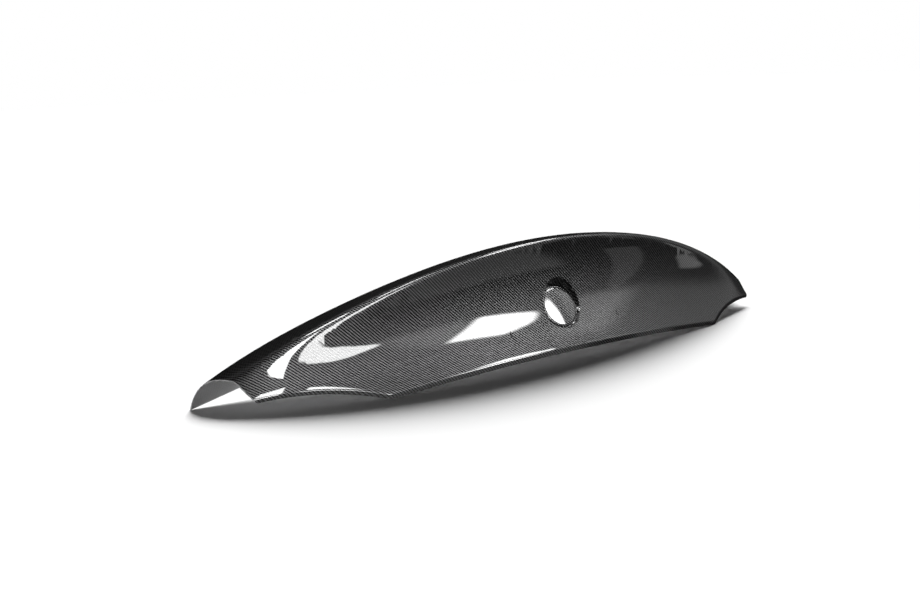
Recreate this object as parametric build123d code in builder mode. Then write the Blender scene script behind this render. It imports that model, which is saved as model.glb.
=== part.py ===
"""Rear spoiler of a car: one thin woven carbon shell that bonds over the back edge of a boot lid.

Front leaf on the deck, rounded crest, hollow rear leaf with a round badge seat, rolled lower edge with a
turned-down flange. X runs across the car, +Y to its front and +Z up; z = 0 is the surface it rests on.
"""
import os
from math import cos, hypot, pi, radians, sin, sqrt, tan
from build123d import *

os.makedirs("parts", exist_ok=True)

# Shell
wall = 2.0
tip_half = 642.0
roll_radius = 6.5

# Curves along the span: value at the middle, then its square and fourth power terms towards the tip
crest_y = (-62.8, 90.3, 18.3)
crest_z = (211.0, -167.2, -18.4)
crest_soft = (11.5, 16.2, -8.2)
crest_tight = (12.7, -6.0, -1.6)
crest_lean = (-13.9, 30.5, 34.0)
foot_y = (-105.4, 67.3, 0.0)
foot_z = (25.3, -43.3, 0.0)
foot_lean = (37.9, 27.9, 0.0)
lead_y = (94.2, 30.3, -22.0)
lead_z = (98.6, -132.8, 34.6)
front_rise = (-0.8, -6.3, 36.5)
front_fall = (27.5, 49.5, 0.0)
front_start = 0.48
front_end = 0.66
flange_high = (3.7, 0.0, -3.5)

# The crest starts from the line where the two leaves would meet, and rounds it off over these lengths
# of the rear leaf (soft) and of the front leaf (tight)
crest_pull = 5.0

# Lower edge seen from behind: a flat arc in the middle, a lamp arc at each end, and the corner between them
middle_height = 17.3
middle_arc = 4250.0
lamp_height = 20.2
lamp_arc = 468.0
lamp_from_tip = 112.0
corner_soft = 1.5
corner_step = 2.25
end_fall = 130.0

# Upright cut at each end, hollow in plan, from the rear corner to the front tip
end_from_tip = 54.0
end_rear_y = -2.2
end_front_y = 102.7
end_hollow = 3.0
end_over = 2.0
corner_radius = 5.0
corner_reach = 30.0

# Badge seat in the rear leaf
seat_y = -62.8
seat_z = 89.0
seat_tilt = 28.1
seat_radius = 37.0
seat_edge = 1.0
groove = 2.5
groove_depth = 3.0
recess_draft = 24.0
recess_top = 24.0


def along(terms, x):
    """Value of a span curve at a distance x from the middle."""
    u = (x / tip_half) ** 2
    return terms[0] + terms[1] * u + terms[2] * u * u


lamp_centre = tip_half - lamp_from_tip
end_rear_x = tip_half - end_from_tip
end_front_x = tip_half


def lower_edge(x):
    """Height of the flange's bottom edge."""
    middle = middle_height - x * x / (2 * middle_arc)
    lamp = lamp_height - (abs(x) - lamp_centre) ** 2 / (2 * lamp_arc)
    past_end = max(abs(x) - end_rear_x - corner_radius, 0)
    return (middle + lamp + hypot(middle - lamp, corner_soft)) / 2 - past_end ** 2 / end_fall


def crest_curve(x, depth):
    """Control points of the crest from the rear leaf to the front leaf, at a depth inside its outer face."""
    lean = radians(along(crest_lean, x))
    rise = radians(along(front_rise, x))
    inward = depth * tan((pi / 2 - rise - lean) / 2)
    rear = along(crest_soft, x) - inward
    front = along(crest_tight, x) - inward
    y = along(crest_y, x) + depth * cos(lean) - inward * sin(lean)
    z = along(crest_z, x) - depth * sin(lean) - inward * cos(lean)
    a = (y - rear * sin(lean), z - rear * cos(lean))
    b = (a[0] + crest_pull * sin(lean), a[1] + crest_pull * cos(lean))
    e = (y + front * cos(rise), z + front * sin(rise))
    d = (e[0] - crest_pull * cos(rise), e[1] - crest_pull * sin(rise))
    return a, b, (y, z), d, e


def rear_leaf(x, z):
    """Point and slope of the rear leaf's outer face: how far forward it is at a height."""
    lean = radians(along(crest_lean, x))
    top = crest_curve(x, 0)[0]
    low = along(foot_z, x)
    rise = top[1] - low
    back = along(foot_y, x)
    reach = top[0] - back
    start = rise * tan(radians(along(foot_lean, x)))
    end = rise * tan(lean)
    t = (z - low) / rise
    bow = 3 * reach - 2 * start - end
    curl = start + end - 2 * reach
    y = back + start * t + bow * t * t + curl * t ** 3
    slope = (start + 2 * bow * t + 3 * curl * t * t) / rise
    return y, slope


def rear_curve(x, depth):
    """Control points of the rear leaf from the roll to the crest, at a depth inside its outer face."""
    top = crest_curve(x, 0)[0][1]
    bottom = lower_edge(x) + roll_radius + along(flange_high, x)
    third = (top - bottom) / 3
    y0, slope0 = rear_leaf(x, bottom)
    y1, slope1 = rear_leaf(x, top)
    n0 = hypot(1, slope0)
    n1 = hypot(1, slope1)
    a = (y0 + depth / n0, bottom - depth * slope0 / n0)
    d = (y1 + depth / n1, top - depth * slope1 / n1)
    long = hypot(d[0] - a[0], d[1] - a[1]) / hypot(y1 - y0, top - bottom)
    b = (a[0] + third * long * slope0, a[1] + third * long)
    c = (d[0] - third * long * slope1, d[1] - third * long)
    return a, b, c, d


def front_curve(x, depth):
    """Control points of the front leaf from the crest to its leading edge, at a depth inside its outer face."""
    rise = radians(along(front_rise, x))
    fall = radians(along(front_fall, x))
    a = crest_curve(x, depth)[4]
    d = (along(lead_y, x) - depth * sin(fall), along(lead_z, x) - depth * cos(fall))
    chord = hypot(d[0] - a[0], d[1] - a[1])
    b = (a[0] + front_start * chord * cos(rise), a[1] + front_start * chord * sin(rise))
    c = (d[0] - front_end * chord * cos(fall), d[1] + front_end * chord * sin(fall))
    return a, b, c, d


def flange_curve(x, depth):
    """Ends of the flange below the roll, at a depth inside its outer face."""
    bottom = lower_edge(x)
    top = bottom + roll_radius + along(flange_high, x)
    y, slope = rear_leaf(x, top)
    lean = hypot(1, slope)
    face = y - roll_radius * (1 - 1 / lean) + depth
    roll_end = top - roll_radius * slope / lean
    return (face, bottom), (face, roll_end)


# The corner is where the middle arc and the lamp arc are at one height
bend = 1 / lamp_arc - 1 / middle_arc
lamp_run = lamp_centre / lamp_arc
lamp_rise = lamp_centre * lamp_run + 2 * (middle_height - lamp_height)
corner_at = (lamp_run - sqrt(lamp_run * lamp_run - bend * lamp_rise)) / bend

# Sections across the shell: even steps over the middle and the ends, close ones round the corner
corner_run = 16 * corner_step
middle_step = (corner_at - corner_run) / 6
end_step = (tip_half + end_over - corner_at - corner_run) / 14
spans = [middle_step * i for i in range(6)]
spans += [corner_at + corner_step * i * abs(i) for i in range(-4, 5)]
spans += [corner_at + corner_run + end_step * (i + 1) for i in range(14)]
stations = [-s for s in reversed(spans[1:])] + spans

seat_lean = radians(seat_tilt)
seat_point = Vector(0, seat_y, seat_z)
seat_normal = Vector(0, -cos(seat_lean), sin(seat_lean))
seat_half = Plane(origin=seat_point, x_dir=(1, 0, 0), z_dir=(0, -sin(seat_lean), -cos(seat_lean)))
seat_axis = Axis(seat_point, seat_normal)
recess_radius = seat_radius + groove
recess_flare = (recess_top + groove_depth) * tan(radians(recess_draft))
cup_radius = recess_radius + wall + recess_flare

# Space behind the rear leaf's mid-thickness, used to end the seat's cup inside the wall
with BuildPart() as outside:
    for step in (-2, -1, 0, 1, 2):
        x = step * cup_radius
        rear = rear_curve(x, wall / 2)
        behind = rear[0][0] - 2 * cup_radius
        with BuildSketch(Plane.YZ.offset(x)):
            with BuildLine():
                Bezier(*rear)
                Polyline(rear[3], (behind, rear[3][1]), (behind, rear[0][1]), rear[0])
            make_face()
    loft()

# Cup that carries the seat behind the rear leaf
with BuildPart() as cup:
    with BuildSketch(seat_half):
        with BuildLine():
            Polyline(
                (0, -groove_depth - wall),
                (recess_radius + wall, -groove_depth - wall),
                (cup_radius, recess_top),
                (0, recess_top),
                close=True,
            )
        make_face()
    revolve(axis=seat_axis)
    add(outside.part, mode=Mode.SUBTRACT)

# The shell
with BuildPart() as spoiler:
    for x in stations:
        flange = flange_curve(x, 0)
        flange_in = flange_curve(x, wall)
        rear = rear_curve(x, 0)
        rear_in = rear_curve(x, wall)
        front = front_curve(x, 0)
        front_in = front_curve(x, wall)
        with BuildSketch(Plane.YZ.offset(x)):
            with BuildLine():
                Line(flange[0], flange[1])
                TangentArc(flange[1], rear[0], tangent=(0, 1))
                Bezier(*rear)
                Bezier(*crest_curve(x, 0))
                Bezier(*front)
                Line(front[3], front_in[3])
                Bezier(*reversed(front_in))
                Bezier(*reversed(crest_curve(x, wall)))
                Bezier(*reversed(rear_in))
                TangentArc(flange_in[1], rear_in[0], tangent=(0, 1))
                Line(flange_in[1], flange_in[0])
                Line(flange_in[0], flange[0])
            make_face()
    loft()

    # Seat cup, its recess and the flat pad for the badge
    add(cup.part)
    with BuildSketch(seat_half):
        with BuildLine():
            Polyline(
                (0, -groove_depth),
                (recess_radius, -groove_depth),
                (recess_radius + recess_flare, recess_top),
                (0, recess_top),
                close=True,
            )
        make_face()
    revolve(axis=seat_axis, mode=Mode.SUBTRACT)
    with BuildSketch(seat_half):
        with BuildLine():
            Polyline((seat_radius, -seat_edge), (seat_radius, -groove_depth - wall / 2))
            Line((seat_radius, -groove_depth - wall / 2), (0, -groove_depth - wall / 2))
            Line((0, -groove_depth - wall / 2), (0, 0))
            Line((0, 0), (seat_radius - seat_edge, 0))
            TangentArc((seat_radius - seat_edge, 0), (seat_radius, -seat_edge), tangent=(1, 0))
        make_face()
    revolve(axis=seat_axis)

    # Upright end cuts, and the rounded corner of the flange under each
    run_x = end_front_x - end_rear_x
    run_y = end_front_y - end_rear_y
    run = hypot(run_x, run_y)
    hollow_x = (end_rear_x + end_front_x) / 2 - end_hollow * run_y / run
    hollow_y = (end_rear_y + end_front_y) / 2 + end_hollow * run_x / run
    for side in (-1, 1):
        rear_end = (side * end_rear_x, end_rear_y)
        front_end = (side * end_front_x, end_front_y)
        with BuildSketch(Plane.XY.offset(-corner_reach)):
            with BuildLine():
                ThreePointArc(rear_end, (side * hollow_x, hollow_y), front_end)
                Polyline(
                    front_end,
                    (side * (end_front_x + run_x), end_front_y + run_y),
                    (side * (end_front_x + 2 * run_x), end_front_y + run_y),
                    (side * (end_front_x + 2 * run_x), end_rear_y - run_y),
                    (side * (end_rear_x - run_x / 2), end_rear_y - run_y),
                    rear_end,
                )
            make_face()
        extrude(amount=crest_z[0], mode=Mode.SUBTRACT)
        corner_in = end_rear_x - corner_radius
        corner_low = lower_edge(corner_in)
        corner_top = corner_low + corner_radius
        with BuildSketch(Plane.XZ):
            with BuildLine():
                TangentArc((side * corner_in, corner_low), (side * end_rear_x, corner_top), tangent=(side, 0))
                Polyline(
                    (side * end_rear_x, corner_top),
                    (side * (end_rear_x + corner_reach), corner_top),
                    (side * (end_rear_x + corner_reach), corner_low - corner_reach),
                    (side * corner_in, corner_low - corner_reach),
                    (side * corner_in, corner_low),
                )
            make_face()
        extrude(amount=corner_reach, both=True, mode=Mode.SUBTRACT)

spoiler.part.label = "shell"
export_step(spoiler.part, "parts/shell.step")
print("box", spoiler.part.bounding_box(), "volume", spoiler.part.volume, "solids", len(spoiler.part.solids()))
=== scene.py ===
"""Rear spoiler of a car, dressed for a studio picture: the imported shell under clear-coated twill carbon."""
from math import cos, hypot, radians, sin
import bpy
import numpy as np
from mathutils import Matrix, Vector


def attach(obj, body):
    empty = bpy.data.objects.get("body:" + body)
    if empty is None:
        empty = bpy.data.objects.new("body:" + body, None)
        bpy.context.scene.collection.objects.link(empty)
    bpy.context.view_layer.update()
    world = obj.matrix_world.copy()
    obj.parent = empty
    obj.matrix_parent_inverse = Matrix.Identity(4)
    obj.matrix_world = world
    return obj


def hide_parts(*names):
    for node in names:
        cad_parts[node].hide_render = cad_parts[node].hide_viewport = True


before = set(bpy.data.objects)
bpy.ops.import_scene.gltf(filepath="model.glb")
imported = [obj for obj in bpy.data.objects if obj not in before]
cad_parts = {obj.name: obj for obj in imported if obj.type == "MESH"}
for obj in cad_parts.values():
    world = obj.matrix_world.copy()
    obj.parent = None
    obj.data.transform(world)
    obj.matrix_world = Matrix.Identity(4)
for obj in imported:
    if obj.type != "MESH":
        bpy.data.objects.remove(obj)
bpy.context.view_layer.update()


# Shell: one thin moulding of twill carbon cloth in epoxy, laid into a mould and clear coated.
# It is the imported shell itself, welded, with the true normals of the moulding's curves in place of its facets.
# The lacquer is on the show side only; the bonded inside and the trimmed edges are bare laminate, and the
# inside's pale grey is painted light that brightens the shaded hollow.
tip_half = 0.642
crest_y = (-0.0628, 0.0903, 0.0183)
crest_z = (0.2110, -0.1672, -0.0184)
crest_soft = (0.0115, 0.0162, -0.0082)
crest_tight = (0.0127, -0.0060, -0.0016)
crest_lean = (-13.9, 30.5, 34.0)
crest_pull = 0.005
foot_y = (-0.1054, 0.0673, 0.0)
foot_z = (0.0253, -0.0433, 0.0)
foot_lean = (37.9, 27.9, 0.0)
lead_y = (0.0942, 0.0303, -0.0220)
lead_z = (0.0986, -0.1328, 0.0346)
front_rise = (-0.8, -6.3, 36.5)
front_fall = (27.5, 49.5, 0.0)
front_rise_pull = 0.48
front_fall_pull = 0.66
flange_high = (0.0037, 0.0, -0.0035)
roll_radius = 0.0065

middle_rise = 0.0173
middle_arc = 8.5
lamp_rise = 0.0202
lamp_x = 0.530
lamp_arc = 0.936
edge_corner = 0.0015
end_x = 0.593
end_fall = 0.130


def along(terms, x):
    """A span curve: even in x, so that both halves mirror each other."""
    u = (x / tip_half) ** 2
    return terms[0] + terms[1] * u + terms[2] * u * u


def pair(y, z):
    return np.stack([y, z], -1)


def bezier(t, *points):
    while len(points) > 1:
        points = [a + (b - a) * t[..., None] for a, b in zip(points, points[1:])]
    return points[0]


def lower_edge(x):
    """Height of the flange's bottom edge: a flat arc in the middle, a lamp arc at each end."""
    middle = middle_rise - x * x / middle_arc
    lamp = lamp_rise - (abs(x) - lamp_x) ** 2 / lamp_arc
    past_end = np.maximum(abs(x) - end_x, 0)
    return (middle + lamp + np.hypot(middle - lamp, edge_corner)) / 2 - past_end ** 2 / end_fall


def skin(x, s):
    """Point of the show face in the section at x: flange 0 to 1, roll 2, rear leaf 3, crest 4, front leaf 5."""
    x, s = np.broadcast_arrays(x, s)
    up = pair(np.sin(np.radians(along(crest_lean, x))), np.cos(np.radians(along(crest_lean, x))))
    on = pair(np.cos(np.radians(along(front_rise, x))), np.sin(np.radians(along(front_rise, x))))
    crest = pair(along(crest_y, x), along(crest_z, x))
    joint = crest - along(crest_soft, x)[..., None] * up
    deck = crest + along(crest_tight, x)[..., None] * on
    top = bezier(np.clip(s - 3, 0, 1), joint, joint + crest_pull * up, crest, deck - crest_pull * on, deck)

    low, back = along(foot_z, x), along(foot_y, x)
    height, reach = joint[..., 1] - low, joint[..., 0] - back
    start = height * np.tan(np.radians(along(foot_lean, x)))
    end = height * up[..., 0] / up[..., 1]
    bow, curl = 3 * reach - 2 * start - end, start + end - 2 * reach
    edge = lower_edge(x)
    foot = edge + roll_radius + along(flange_high, x)
    first = (foot - low) / height
    t = first + (1 - first) * np.clip(s - 2, 0, 1)
    leaf = pair(back + start * t + bow * t * t + curl * t ** 3, low + height * t)

    lean = np.arctan((start + 2 * bow * first + 3 * curl * first * first) / height)
    foot_back = back + start * first + bow * first ** 2 + curl * first ** 3
    centre = pair(foot_back + roll_radius * np.cos(lean), foot - roll_radius * np.sin(lean))
    turn = lean * np.clip(s - 1, 0, 1)
    roll = centre + roll_radius * pair(-np.cos(turn), np.sin(turn))
    flange = pair(centre[..., 0] - roll_radius, edge + (centre[..., 1] - edge) * np.clip(s, 0, 1))

    lead = pair(along(lead_y, x), along(lead_z, x))
    fall = pair(np.cos(np.radians(along(front_fall, x))), -np.sin(np.radians(along(front_fall, x))))
    chord = np.linalg.norm(lead - deck, axis=-1)[..., None]
    front = bezier(np.clip(s - 4, 0, 1), deck, deck + front_rise_pull * chord * on,
                   lead - front_fall_pull * chord * fall, lead)
    s = s[..., None]
    return np.where(s < 1, flange, np.where(s < 2, roll, np.where(s < 3, leaf, np.where(s < 4, top, front))))


def nearest(x, p):
    """Where along the section at x the show face is nearest to a point of either face."""
    tries = np.concatenate([np.linspace(0, 2, 21), np.linspace(2.02, 5, 150)])
    gap = np.linalg.norm(skin(x[:, None], tries) - p[:, None], axis=-1)
    s = tries[gap.argmin(1)]
    step = 0.02
    while step > 0.0001:
        trio = np.clip(np.stack([s - step, s, s + step], 1), 0, 5)
        gap = np.linalg.norm(skin(x[:, None], trio) - p[:, None], axis=-1)
        s = np.take_along_axis(trio, gap.argmin(1)[:, None], 1)[:, 0]
        step *= 0.6
    return s


def skin_normal(x, s):
    """Outward normal of the show face, from short steps along the section and along the span."""
    step_s, step_x = 0.002, 0.0002
    piece = np.floor(np.minimum(s, 4.999))
    before, after = np.maximum(s - step_s, piece), np.minimum(s + step_s, piece + 0.99999)
    run = skin(x, after) - skin(x, before)
    n = np.stack([np.zeros_like(x), -run[:, 1], run[:, 0]], 1)
    shift = (skin(x + step_x, s) - skin(x - step_x, s)) / (2 * step_x)
    n[:, 0] = -(n[:, 1] * shift[:, 0] + n[:, 2] * shift[:, 1])
    return n / np.linalg.norm(n, axis=1)[:, None]


bpy.ops.object.select_all(action="DESELECT")
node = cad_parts["shell"]
node.select_set(True)
bpy.context.view_layer.objects.active = node
bpy.ops.object.duplicate()
shell = bpy.context.view_layer.objects.active
shell.name = "carbon_shell"
bpy.ops.object.mode_set(mode="EDIT")
bpy.ops.mesh.select_all(action="SELECT")
bpy.ops.mesh.remove_doubles(threshold=0.00001)
bpy.ops.mesh.select_all(action="DESELECT")
bpy.ops.object.mode_set(mode="OBJECT")

# The round pad for the badge gets a narrow ring inside its edge, where the lacquer runs off it.
# The lacquer crowns the pad a little, more across than up, and leaves it turned slightly down and to the left.
seat = Vector((0, -0.0628, 0.089))
seat_way = Vector((0, -0.882127, 0.471012))
seat_up = Vector((0, 0.471012, 0.882127))
pad_ring = 0.0035
pad_flat_radius = 0.0345
pad_crown_across = 3.3
pad_crown_up = 1.3
pad_crown_rim = 12.0
pad_turn = Vector((0.04, 0, 0)) + 0.03 * seat_up
recess_radius = 0.0416
recess_high = 0.004


def on_pad(face):
    return face.normal.dot(seat_way) > 0.999 and abs((face.center - seat).dot(seat_way)) < 0.0005


for face in shell.data.polygons:
    face.select = on_pad(face)
bpy.ops.object.mode_set(mode="EDIT")
bpy.ops.mesh.select_mode(type="FACE")
bpy.ops.mesh.inset(thickness=pad_ring, depth=0)
bpy.ops.object.mode_set(mode="OBJECT")
bpy.ops.object.shade_smooth_by_angle(angle=radians(28))

points = np.array([v.co for v in shell.data.vertices])
spots, ways = np.empty(len(points)), np.empty((len(points), 3))
batch = 4000
for first in range(0, len(points), batch):
    x, p = points[first:first + batch, 0], points[first:first + batch, 1:]
    spots[first:first + batch] = nearest(x, p)
    ways[first:first + batch] = skin_normal(x, spots[first:first + batch])
offs = np.linalg.norm(skin(points[:, 0], spots) - points[:, 1:], axis=1)

# The cloth hangs from the joint of the rear leaf and the crest, and is draped on over the crest from there.
joints = skin(points[:, 0], 3.0)
decks = skin(points[:, 0], 4.0)
over = np.linalg.norm(skin(points[:, 0], np.clip(spots, 3, 4)) - joints, axis=1)
over += np.where(spots > 4, np.linalg.norm(points[:, 1:] - decks, axis=1), 0)
heights = joints[:, 1] + np.where(spots > 3, over, -np.linalg.norm(points[:, 1:] - joints, axis=1))

# Corners on either face of the wall take the true normal; cut edges and the recess keep their own.
wall_reach = 0.0028
same_way = 0.8
cloth = shell.data.uv_layers.new(name="cloth")
normals = []
for face in shell.data.polygons:
    pad = on_pad(face)
    for index in face.loop_indices:
        corner = shell.data.loops[index].vertex_index
        p = shell.data.vertices[corner].co
        cloth.data[index].uv = (p.x, heights[corner])
        n = Vector(ways[corner])
        arm = p - seat
        proud = arm.dot(seat_way)
        in_seat = (arm - proud * seat_way).length < recess_radius and proud < recess_high
        match = n.dot(face.normal)
        if offs[corner] < wall_reach and abs(match) > same_way and not in_seat:
            normals.append(n * (1 if match > 0 else -1))
        elif pad:
            lift = arm.dot(seat_up) * seat_up
            crown = pad_crown_rim * arm
            if arm.length < pad_flat_radius:
                crown = pad_crown_across * (arm - lift) + pad_crown_up * lift
            normals.append((seat_way + crown - pad_turn).normalized())
        else:
            normals.append(Vector((0, 0, 0)))
shell.data.normals_split_custom_set(normals)


class Strand:
    """One output of a node tree, so that sums over the cloth are written as Python."""

    def __init__(self, tree, socket=None):
        self.tree = tree
        self.socket = socket

    def node(self, kind, settings=None, sockets=None, output=0):
        made = self.tree.nodes.new(kind)
        for name, value in (settings or {}).items():
            setattr(made, name, value)
        for key, value in (sockets or {}).items():
            if isinstance(value, Strand):
                self.tree.links.new(value.socket, made.inputs[key])
            else:
                made.inputs[key].default_value = value
        return Strand(self.tree, made.outputs[output]) if made.outputs else made

    def math(self, operation, *others):
        return self.node("ShaderNodeMath", {"operation": operation}, dict(enumerate((self,) + others)))

    def __add__(self, other):
        return self.math("ADD", other)

    __radd__ = __add__

    def __sub__(self, other):
        return self.math("SUBTRACT", other)

    def __rsub__(self, other):
        return (self * -1) + other

    def __mul__(self, other):
        return self.math("MULTIPLY", other)

    __rmul__ = __mul__

    def __mod__(self, other):
        return self.math("FLOORED_MODULO", other)

    def __lt__(self, other):
        return self.math("LESS_THAN", other)


def new_finish(name):
    """A material with an empty node tree, and the root of that tree."""
    material = bpy.data.materials.new(name)
    material.use_nodes = True
    material.node_tree.nodes.clear()
    return material, Strand(material.node_tree)


def tone(factor, first, second):
    """The first colour where the factor is 0, the second where it is 1."""
    return factor.node("ShaderNodeMix", {"data_type": "RGBA"}, {0: factor, 6: first, 7: second}, 2)


def twill(root, crown, fibre, dip):
    """Mask of the upright tows of a two by two twill, and the normal of its rounded, fibrous tows."""
    tow_width = 0.0015
    hairs = 7
    uv = root.node("ShaderNodeUVMap", {"uv_map": "cloth"})
    split = uv.node("ShaderNodeSeparateXYZ", None, {0: uv})
    across = split * (1 / tow_width)
    up = Strand(root.tree, split.socket.node.outputs[1]) * (1 / tow_width)
    column = across.math("FLOOR")
    row = up.math("FLOOR")
    upright = ((column + row) % 4) < 2
    side_a = (across % 1) * 2 - 1
    side_b = (up % 1) * 2 - 1
    hair_a = ((across * hairs) % 1) * 2 - 1
    hair_b = ((up * hairs) % 1) * 2 - 1
    run_a = ((across + row) % 4) - 3
    run_b = ((column + up) % 4) - 1
    tilt_x = upright * (side_a * crown + hair_a * fibre) + (1 - upright) * (run_a * run_a * run_a * dip)
    tilt_y = (1 - upright) * (side_b * crown + hair_b * fibre) + upright * (run_b * run_b * run_b * dip)
    face = root.node("ShaderNodeCombineXYZ", None, {0: tilt_x * 0.5 + 0.5, 1: tilt_y * 0.5 + 0.5, 2: 1.0})
    normal = root.node("ShaderNodeNormalMap", {"uv_map": "cloth"}, {"Strength": 1.0, "Color": face})
    return upright, normal


carbon, root = new_finish("clear_coated_carbon")
upright, tow_normal = twill(root, crown=0.26, fibre=0.08, dip=0.10)
# Painted sheen: the flat tows get a mid grey and the upright tows near black, as if only the flat tows caught
# the soft boxes.
painted_tow_sheen = tone(upright, (0.088, 0.088, 0.089, 1), (0.005, 0.005, 0.005, 1))
finish = root.node("ShaderNodeBsdfPrincipled", None, {
    "Base Color": painted_tow_sheen, "Metallic": 1.0, "Roughness": 0.42, "Normal": tow_normal,
    "Coat Weight": 1.0, "Coat Roughness": 0.015, "Coat IOR": 1.6,
})
root.node("ShaderNodeOutputMaterial", None, {"Surface": finish})

painted_light_laminate, root = new_finish("bare_laminate_painted_light")
upright, tow_normal = twill(root, crown=0.35, fibre=0.30, dip=0.12)
# Painted light: the inside is a pale grey, far lighter than bare carbon, so the shaded hollow reads as lit; the
# flat tows are a little lighter than the upright ones, a painted sheen that shows the weave.
painted_tow_sheen = tone(upright, (0.52, 0.52, 0.524, 1), (0.43, 0.43, 0.433, 1))
finish = root.node("ShaderNodeBsdfPrincipled", None, {
    "Base Color": painted_tow_sheen, "Roughness": 0.45, "Normal": tow_normal,
})
root.node("ShaderNodeOutputMaterial", None, {"Surface": finish})

trimmed, root = new_finish("trimmed_edge")
place = root.node("ShaderNodeTexCoord", None, None, 3)
plies = root.node("ShaderNodeTexNoise", None, {"Vector": place, "Scale": 900.0, "Detail": 2.0})
ply_grey = tone(plies, (0.36, 0.36, 0.362, 1), (0.60, 0.60, 0.603, 1))
finish = root.node("ShaderNodeBsdfPrincipled", None, {"Base Color": ply_grey, "Roughness": 0.5})
root.node("ShaderNodeOutputMaterial", None, {"Surface": finish})

# A line along the span, in the hollow behind the rear leaf, tells the inside from the show side.
hollow_back = 0.050
hollow_share = 0.45
end_cut_x = 0.58
seat_room = 0.06
shell.data.materials.clear()
for material in (carbon, painted_light_laminate, trimmed):
    shell.data.materials.append(material)
for face in shell.data.polygons:
    c = face.center
    hollow = Vector((c.x, along(crest_y, c.x) + hollow_back, along(crest_z, c.x) * hollow_share))
    on_end = abs(c.x) > end_cut_x and abs(face.normal.z) < 0.05 and abs(face.normal.x) > 0.6
    across_wall = abs(face.normal.dot(Vector(ways[face.vertices[0]]))) < 0.6
    if on_end or (across_wall and (c - seat).length > seat_room):
        face.material_index = 2
    else:
        face.material_index = 1 if face.normal.dot(c - hollow) < 0 else 0
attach(shell, "root")
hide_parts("shell")


# Floor: a plain sweep of white paper under the part, which takes its shadow.
# It is white to the eye and a little greyer as a source of bounced light, and is left out of the lacquer.
def in_sight(root):
    """1 for rays from the camera, and from mirrors and glass, else 0."""
    seen = root.node("ShaderNodeLightPath")
    paths = seen.socket.node.outputs
    shown = seen + Strand(root.tree, paths["Is Glossy Ray"]) + Strand(root.tree, paths["Is Transmission Ray"])
    return shown.node("ShaderNodeClamp", None, {0: shown})


bpy.ops.mesh.primitive_plane_add(size=40, location=(0, 0, 0))
floor = bpy.context.active_object
floor.name = "floor"
floor.visible_glossy = False
paper, root = new_finish("white_paper")
white = tone(in_sight(root), (0.85, 0.85, 0.85, 1), (1, 1, 1, 1))
finish = root.node("ShaderNodeBsdfPrincipled", None, {
    "Base Color": white, "Roughness": 1.0, "Specular IOR Level": 0.0,
})
root.node("ShaderNodeOutputMaterial", None, {"Surface": finish})
floor.data.materials.append(paper)


# Studio light: soft boxes and dim cards round the part, which only glossy rays see, and black flags all round
# them that keep the white room out of the lacquer. A broad lamp behind and to the right lights the floor and
# casts the shadow, and a small one low at the left reaches into the open end.
box_distance = 2.5
sampled_strength = 5


def soft_box(name, aim, corners, soft, strength):
    """A lit card facing the point it is mirrored in; its corners are azimuths and elevations from there."""
    def way_to(azimuth, elevation):
        a, e = radians(azimuth), radians(elevation)
        return Vector((sin(a) * cos(e), -cos(a) * cos(e), sin(e)))

    rays = [way_to(*corner) for corner in corners]
    way = sum(rays, Vector()).normalized()
    side = Vector((0, 0, -1)).cross(way).normalized()
    rise = way.cross(side)
    outline = [(box_distance * ray.dot(side) / ray.dot(way), box_distance * ray.dot(rise) / ray.dot(way))
               for ray in rays]
    bpy.ops.mesh.primitive_circle_add(vertices=len(outline), fill_type="NGON")
    card = bpy.context.active_object
    card.name = name
    middle = sum((Vector((u, w, 0)) for u, w in outline), Vector()) / len(outline)
    for vertex, (u, w) in zip(card.data.vertices, outline):
        arm = Vector((u, w, 0)) - middle
        vertex.co = middle + arm * (1 + 2 * soft / arm.length)
    stand = Matrix.Translation(Vector(aim) + box_distance * way)
    card.matrix_world = stand @ Matrix((side, rise, way)).transposed().to_4x4()

    light, root = new_finish(name)
    place = root.node("ShaderNodeTexCoord", None, None, 3)
    u = root.node("ShaderNodeSeparateXYZ", None, {0: place})
    w = Strand(root.tree, u.socket.node.outputs[1])
    bounces = Strand(root.tree, root.node("ShaderNodeLightPath").socket.node.outputs["Diffuse Depth"])
    lit = bounces < 0.5
    for (u0, w0), (u1, w1) in zip(outline, outline[1:] + outline[:1]):
        run = hypot(u1 - u0, w1 - w0)
        inside = (w - w0) * ((u1 - u0) / run) - (u - u0) * ((w1 - w0) / run)
        lit = lit * root.node("ShaderNodeMapRange", {"interpolation_type": "SMOOTHSTEP"},
                              {0: inside, 1: -soft, 2: soft})
    glow = root.node("ShaderNodeEmission", None, {"Color": (1, 1, 1, 1), "Strength": strength})
    clear = root.node("ShaderNodeBsdfTransparent")
    both = root.node("ShaderNodeAddShader", None, {0: glow, 1: clear})
    edged = root.node("ShaderNodeMixShader", None, {0: lit, 1: clear, 2: both})
    root.node("ShaderNodeOutputMaterial", None, {"Surface": edged})
    light.cycles.emission_sampling = "AUTO" if strength > sampled_strength else "NONE"
    card.data.materials.append(light)
    card.visible_camera = False
    card.visible_diffuse = False
    card.visible_shadow = False


soft_box("box_middle", (-0.155, -0.066, 0.078),
         [(31.7, 19.1), (44.3, 21.8), (45.4, 26.7), (41.1, 32.8), (28.0, 33.9)], 0.06, 22)
soft_box("box_low", (-0.481, -0.014, 0.076),
         [(-5.4, 12.1), (12.0, 12.2), (19.2, 17.9), (19.3, 19.7), (12.5, 24.2), (-6.1, 24.0)], 0.04, 14)
soft_box("box_left", (-0.522, -0.002, 0.074),
         [(-28.6, 26.1), (-25.5, 25.0), (-10.5, 25.0), (-9.2, 39.2), (-26.8, 39.2), (-29.8, 36.0)], 0.02, 20)
soft_box("box_high", (-0.561, -0.009, 0.029),
         [(-3.3, 50.1), (-2.0, 60.0), (-30.0, 74.0), (-45.0, 72.0), (-23.0, 60.7)], 0.02, 18)
soft_box("box_over", (-0.45, -0.04, 0.03),
         [(6.5, 53.5), (13.4, 55.3), (27.8, 60.4), (48.0, 64.0), (40.0, 70.0), (6.5, 62.0)], 0.02, 18)
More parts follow.
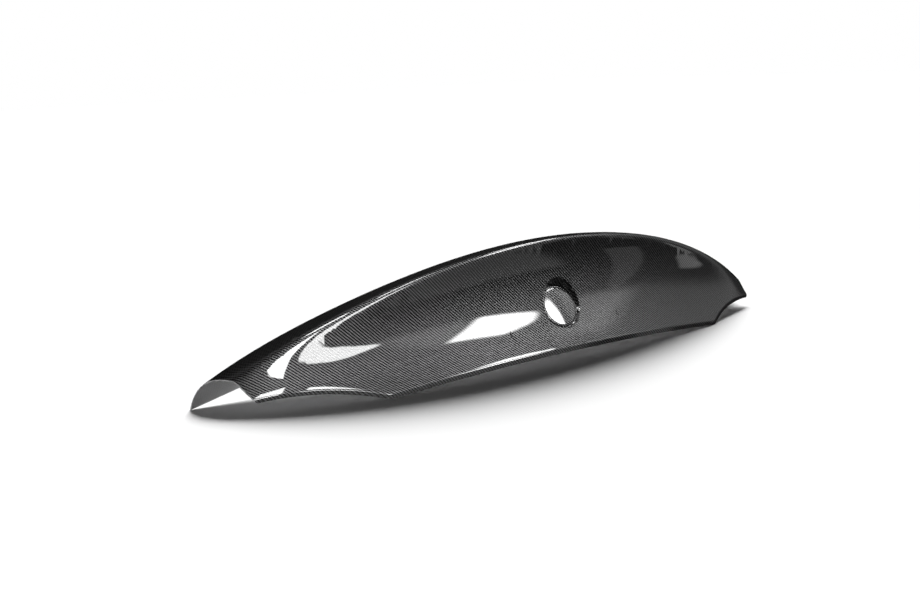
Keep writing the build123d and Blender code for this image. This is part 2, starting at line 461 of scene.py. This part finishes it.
soft_box("box_right", (-0.10, -0.10, 0.025),
         [(49.5, 58.0), (48.4, 52.0), (50.4, 46.9), (53.7, 43.2), (58.3, 39.8), (74.0, 45.0), (68.0, 58.0)],
         0.02, 20)
soft_box("card_panel", (0.161, -0.054, 0.145),
         [(51.4, 9.0), (51.1, -17.0), (57.2, -16.0), (57.5, -8.7), (54.7, 12.6)], 0.03, 0.26)
soft_box("card_small", (0.35, -0.034, 0.131),
         [(62.6, -8.0), (66.0, -8.0), (73.2, -2.0), (63.6, -1.7)], 0.04, 0.75)
soft_box("card_side", (0.20, -0.06, 0.06),
         [(54.0, 12.0), (95.0, 2.0), (100.0, 36.0), (70.0, 40.0), (50.0, 30.0)], 0.30, 0.28)
soft_box("card_pad", (0.03, -0.07, 0.08),
         [(48.0, 16.0), (60.0, 12.0), (64.0, 32.0), (50.0, 36.0)], 0.15, 0.9)
soft_box("card_between", (-0.25, -0.06, 0.07),
         [(14.0, 16.0), (31.0, 18.0), (44.0, 21.0), (46.0, 27.0), (40.0, 34.0), (27.0, 35.0), (16.0, 26.0)],
         0.22, 0.9)
soft_box("card_front", (0.0, 0.03, 0.10),
         [(130.0, 52.0), (180.0, 50.0), (230.0, 52.0), (220.0, 76.0), (180.0, 82.0), (140.0, 76.0)], 0.20, 0.4)
soft_box("card_low", (-0.20, -0.08, 0.06),
         [(-30.0, -7.0), (-30.0, -24.0), (48.0, -24.0), (48.0, -7.0)], 0.12, 0.35)

bpy.ops.mesh.primitive_uv_sphere_add(radius=4, location=(0, 0, 0.2))
flags = bpy.context.active_object
flags.name = "black_flags"
felt, root = new_finish("black_felt")
felt.cycles.emission_sampling = "NONE"
glow = root.node("ShaderNodeEmission", None, {"Color": (0.015, 0.015, 0.015, 1), "Strength": 1.0})
root.node("ShaderNodeOutputMaterial", None, {"Surface": glow})
flags.data.materials.append(felt)
flags.visible_camera = False
flags.visible_diffuse = False
flags.visible_shadow = False

lamp_data = bpy.data.lights.new("floor_lamp", "SUN")
lamp_data.energy = 5.0
lamp_data.angle = radians(28)
lamp = bpy.data.objects.new("floor_lamp", lamp_data)
bpy.context.scene.collection.objects.link(lamp)
lamp.rotation_euler = Vector((0.55, 0.52, 0.60)).to_track_quat("Z", "Y").to_euler()
lamp.visible_glossy = False

end_data = bpy.data.lights.new("end_lamp", "AREA")
end_data.energy = 3.0
end_data.shape = "RECTANGLE"
end_data.size = 0.6
end_data.size_y = 0.3
end_lamp = bpy.data.objects.new("end_lamp", end_data)
bpy.context.scene.collection.objects.link(end_lamp)
end_lamp.location = (-1.7, -0.3, 0.16)
end_lamp.rotation_euler = Vector((-1.06, -0.3, 0.10)).to_track_quat("Z", "Y").to_euler()
end_lamp.visible_glossy = False

world = bpy.data.worlds.new("studio")
bpy.context.scene.world = world
world.use_nodes = True
world.node_tree.nodes.clear()
root = Strand(world.node_tree)
room = tone(in_sight(root), (0.035, 0.035, 0.035, 1), (1, 1, 1, 1))
glow = root.node("ShaderNodeBackground", None, {"Color": room, "Strength": 1.0})
root.node("ShaderNodeOutputWorld", None, {"Surface": glow})


# Camera: the photograph's own view, from behind and to the left of the part.
# Its three directions and its place were found together with the part's curves.
camera_data = bpy.data.cameras.new("camera")
camera_data.lens = 54.783
camera_data.sensor_width = 36
camera = bpy.data.objects.new("camera", camera_data)
bpy.context.scene.collection.objects.link(camera)
across = Vector((0.76458444, -0.64327749, -0.0400588))
upward = Vector((0.14228903, 0.10784901, 0.98393212))
ahead = Vector((0.62862108, 0.75799912, -0.17399101))
camera.matrix_world = Matrix((
    (across.x, upward.x, -ahead.x, -1.666416),
    (across.y, upward.y, -ahead.y, -1.800018),
    (across.z, upward.z, -ahead.z, 0.520114),
    (0, 0, 0, 1),
))
bpy.context.scene.camera = camera
bpy.context.scene.view_settings.view_transform = "Standard"
